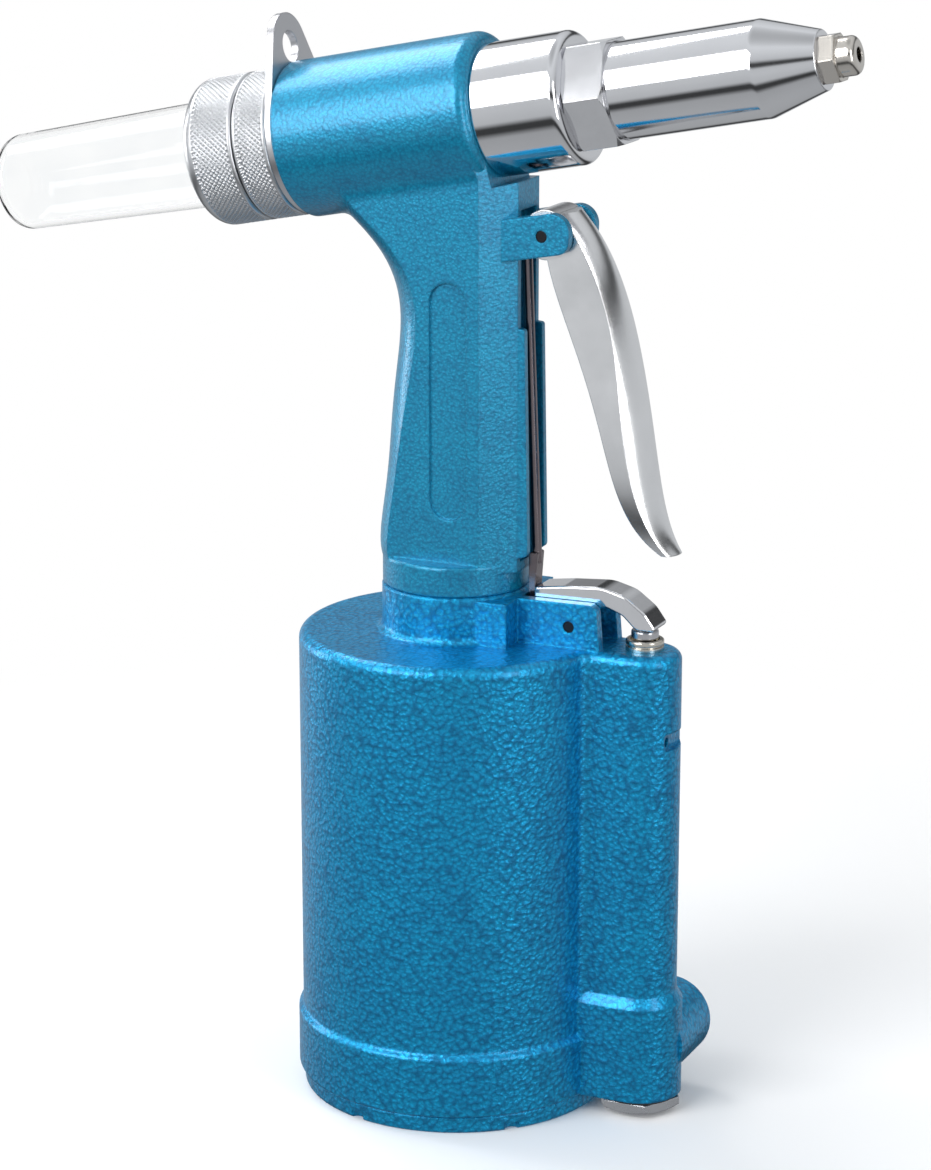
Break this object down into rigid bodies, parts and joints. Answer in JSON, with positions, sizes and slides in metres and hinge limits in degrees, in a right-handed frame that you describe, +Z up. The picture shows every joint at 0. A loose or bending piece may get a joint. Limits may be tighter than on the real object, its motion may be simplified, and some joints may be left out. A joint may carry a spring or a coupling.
{
  "type": "pneumatic rivet gun",
  "caption": "Pistol-grip air-hydraulic rivet gun: tilted head with nose and collector bottle over an upright air cylinder, long trigger and lever-worked air valve.",
  "frame": {"origin": "centre of the base cap face that the tool stands on", "axes": "+Z up along the air cylinder, +X the way the nose points, +Y the side of the air inlet; the head axis rises 11 degrees towards +X"},
  "size_m": [0.2411, 0.086, 0.2903],
  "materials": {
    "blue_casting": "blue hammertone enamel over cast aluminium",
    "blue_handle": "blue metallic enamel over cast aluminium",
    "polished_chrome": "polished chrome plate",
    "nose_nickel": "bright nickel plate, slightly warm",
    "knurled_aluminium": "satin, fine diamond knurl",
    "hanger_steel": "satin zinc plate",
    "clear_plastic": "clear moulded polycarbonate",
    "bright_steel": "ground steel",
    "dark_steel": "dark oiled steel",
    "turned_aluminium": "plain turned",
    "black_rubber": "matt nitrile rubber",
    "gland_brass": "turned brass",
    "zinc_plug": "bright zinc plate"
  },
  "bodies": {
    "frame": {"air_cylinder": "blue_casting", "base_cap": "blue_casting", "cap_seal": "black_rubber", "bumper": "black_rubber", "handle_body": "blue_handle", "handle_lock_nut": "dark_steel", "ram_gland": "gland_brass", "ram_seal": "black_rubber", "oil_screw": "zinc_plug", "oil_screw_seal": "black_rubber", "front_sleeve": "polished_chrome", "rod_seal": "black_rubber", "sleeve_seal": "black_rubber", "head_lock_nut": "polished_chrome", "frame_head": "polished_chrome", "nosepiece": "nose_nickel", "hanger_plate": "hanger_steel", "frame_cap": "knurled_aluminium", "tube_seal": "black_rubber", "trigger_pin": "dark_steel", "lever_pin": "dark_steel", "valve_plug": "zinc_plug", "plug_washer": "black_rubber", "valve_sleeve": "gland_brass", "valve_screw": "nose_nickel", "return_spring": "bright_steel", "valve_spring": "bright_steel"},
    "collector": {"collector_ring": "knurled_aluminium", "collector_bottle": "clear_plastic"},
    "air_drive": {"air_piston": "turned_aluminium", "air_piston_seal": "black_rubber", "ram": "bright_steel", "piston_nut": "zinc_plug"},
    "draw_piston": {"hydraulic_piston": "bright_steel", "piston_seal": "black_rubber", "mandrel_tube": "bright_steel", "jaw_case": "dark_steel", "jaw_case_coupler": "dark_steel", "jaw_spring": "bright_steel"},
    "jaw_one": {"jaw_1": "dark_steel"},
    "jaw_two": {"jaw_2": "dark_steel"},
    "jaw_three": {"jaw_3": "dark_steel"},
    "pusher": {"jaw_pusher": "bright_steel"},
    "trigger": {"trigger": "polished_chrome", "rod_pin": "dark_steel"},
    "rod": {"trigger_rod": "dark_steel"},
    "lever": {"lower_lever": "polished_chrome"},
    "valve": {"valve_stem": "bright_steel", "valve_seal": "black_rubber"}
  },
  "joints": [
    {"name": "trigger_pull", "type": "hinge", "parent": "frame", "child": "trigger", "pos_m": [0.0279, 0, 0.2344], "axis": [0, 1, 0], "range_deg": [0, 10], "stiffness_Nm_per_rad": 0.6, "springref_deg": -28.65},
    {"name": "rod_lift", "type": "slide", "parent": "frame", "child": "rod", "axis": [0, 0, 1], "range_m": [0, 0.0013]},
    {"name": "lever_tilt", "type": "hinge", "parent": "frame", "child": "lever", "pos_m": [0.0353, 0, 0.1329], "axis": [0, 1, 0], "range_deg": [0, 7.2]},
    {"name": "valve_press", "type": "slide", "parent": "frame", "child": "valve", "axis": [0, 0, -1], "range_m": [0, 0.0023], "deforming": ["valve_spring"]},
    {"name": "ram_stroke", "type": "slide", "parent": "frame", "child": "air_drive", "axis": [0, 0, 1], "range_m": [0, 0.075], "stiffness_N_per_m": 60, "springref_m": -0.05},
    {"name": "draw_back", "type": "slide", "parent": "frame", "child": "draw_piston", "axis": [-0.9816, 0, -0.1908], "range_m": [0, 0.0142], "deforming": ["return_spring"]},
    {"name": "jaw_one_grip", "type": "slide", "parent": "draw_piston", "child": "jaw_one", "axis": [0.9829, 0.1544, 0.1002], "range_m": [0, 0.0015]},
    {"name": "jaw_two_grip", "type": "slide", "parent": "draw_piston", "child": "jaw_two", "axis": [0.9319, 0, 0.3628], "range_m": [0, 0.0015]},
    {"name": "jaw_three_grip", "type": "slide", "parent": "draw_piston", "child": "jaw_three", "axis": [0.9829, -0.1544, 0.1002], "range_m": [0, 0.0015]},
    {"name": "pusher_follow", "type": "slide", "parent": "draw_piston", "child": "pusher", "axis": [0.9816, 0, 0.1908], "range_m": [0, 0.0015], "deforming": ["jaw_spring"]},
    {"name": "collector_pull", "type": "slide", "parent": "frame", "child": "collector", "axis": [-0.9816, 0, -0.1908], "range_m": [0, 0.08]}
  ],
  "couplings": [
    {"joint": "rod_lift", "follows": "trigger_pull", "m_per_rad": 0.0072},
    {"joint": "lever_tilt", "follows": "trigger_pull", "ratio": 0.7},
    {"joint": "valve_press", "follows": "trigger_pull", "m_per_rad": 0.0131},
    {"joint": "draw_back", "follows": "ram_stroke", "ratio": 0.18824},
    {"joint": "jaw_one_grip", "follows": "ram_stroke", "ratio": 0.0187},
    {"joint": "jaw_two_grip", "follows": "ram_stroke", "ratio": 0.0187},
    {"joint": "jaw_three_grip", "follows": "ram_stroke", "ratio": 0.0187},
    {"joint": "pusher_follow", "follows": "ram_stroke", "ratio": 0.0187}
  ]
}
